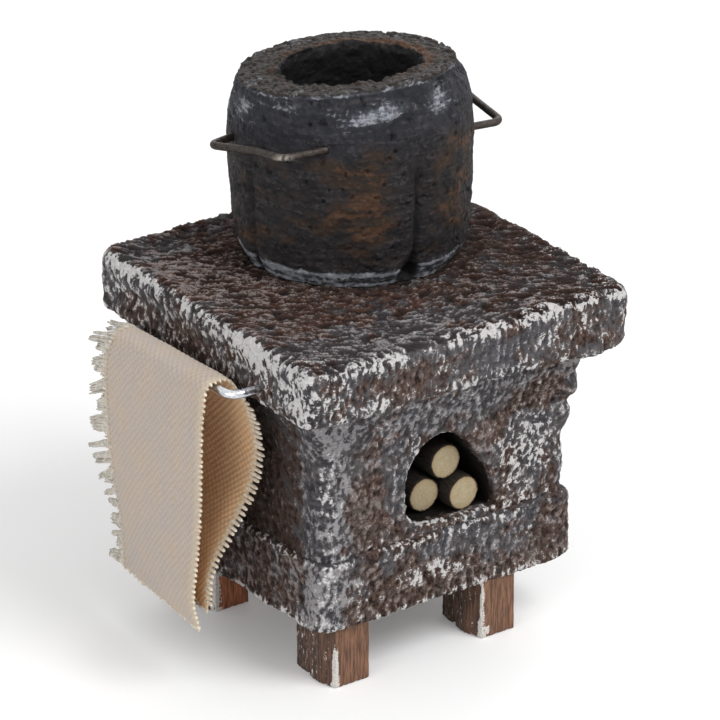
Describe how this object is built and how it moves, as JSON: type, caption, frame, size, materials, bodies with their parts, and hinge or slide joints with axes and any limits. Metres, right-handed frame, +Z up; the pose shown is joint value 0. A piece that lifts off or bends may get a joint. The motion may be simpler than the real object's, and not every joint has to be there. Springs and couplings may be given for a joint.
{
  "type": "miniature wood-fired oven",
  "caption": "Miniature cork wood stove on short legs, with an arched fire opening holding logs, a loose cooking pot with wire handles and a towel on a side rail.",
  "frame": {"origin": "on the ground, under the middle of the whole part's box, towel included; the stove's own middle is 3.84 mm to the right of it", "axes": "+Z up, -Y out of the fire opening, -X towards the towel"},
  "size_m": [0.0546, 0.0474, 0.0684],
  "materials": {
    "painted_cork": "cork and plaster, painted umber and charcoal and dry-brushed white",
    "stained_moulding": "brown stain, matt",
    "blackened_cork": "charcoal paint with rust-brown patches and white worn edges",
    "dark_wire": "tarnished brown-grey wire",
    "bright_wire": "bright galvanised wire",
    "cream_twill": "unbleached cotton twill with frayed edges",
    "cut_branch": "pale cut ends, dark bark"
  },
  "bodies": {
    "stove": {"top_slab": "painted_cork", "firebox_block": "painted_cork", "hearth_slab": "painted_cork", "front_left_leg": "stained_moulding", "front_right_leg": "stained_moulding", "rear_left_leg": "stained_moulding", "rear_right_leg": "stained_moulding", "towel_rail": "bright_wire"},
    "pot": {"cooking_pot": "blackened_cork", "pot_handle_left": "dark_wire", "pot_handle_right": "dark_wire"},
    "towel_cloth": {"towel": "cream_twill"},
    "left_log": {"firewood_log_left": "cut_branch"},
    "right_log": {"firewood_log_right": "cut_branch"},
    "top_log": {"firewood_log_top": "cut_branch"}
  },
  "joints": [
    {"name": "pot_lift", "type": "slide", "parent": "stove", "child": "pot", "axis": [0, 0, 1], "range_m": [0, 0.035]},
    {"name": "towel_slide", "type": "slide", "parent": "stove", "child": "towel_cloth", "axis": [0, 1, 0], "range_m": [-0.0018, 0.0006]},
    {"name": "left_log_draw", "type": "slide", "parent": "stove", "child": "left_log", "axis": [0, -1, 0], "range_m": [0, 0.018]},
    {"name": "right_log_draw", "type": "slide", "parent": "stove", "child": "right_log", "axis": [0, -1, 0], "range_m": [0, 0.018]},
    {"name": "top_log_draw", "type": "slide", "parent": "stove", "child": "top_log", "axis": [0, -1, 0], "range_m": [0, 0.018]}
  ]
}
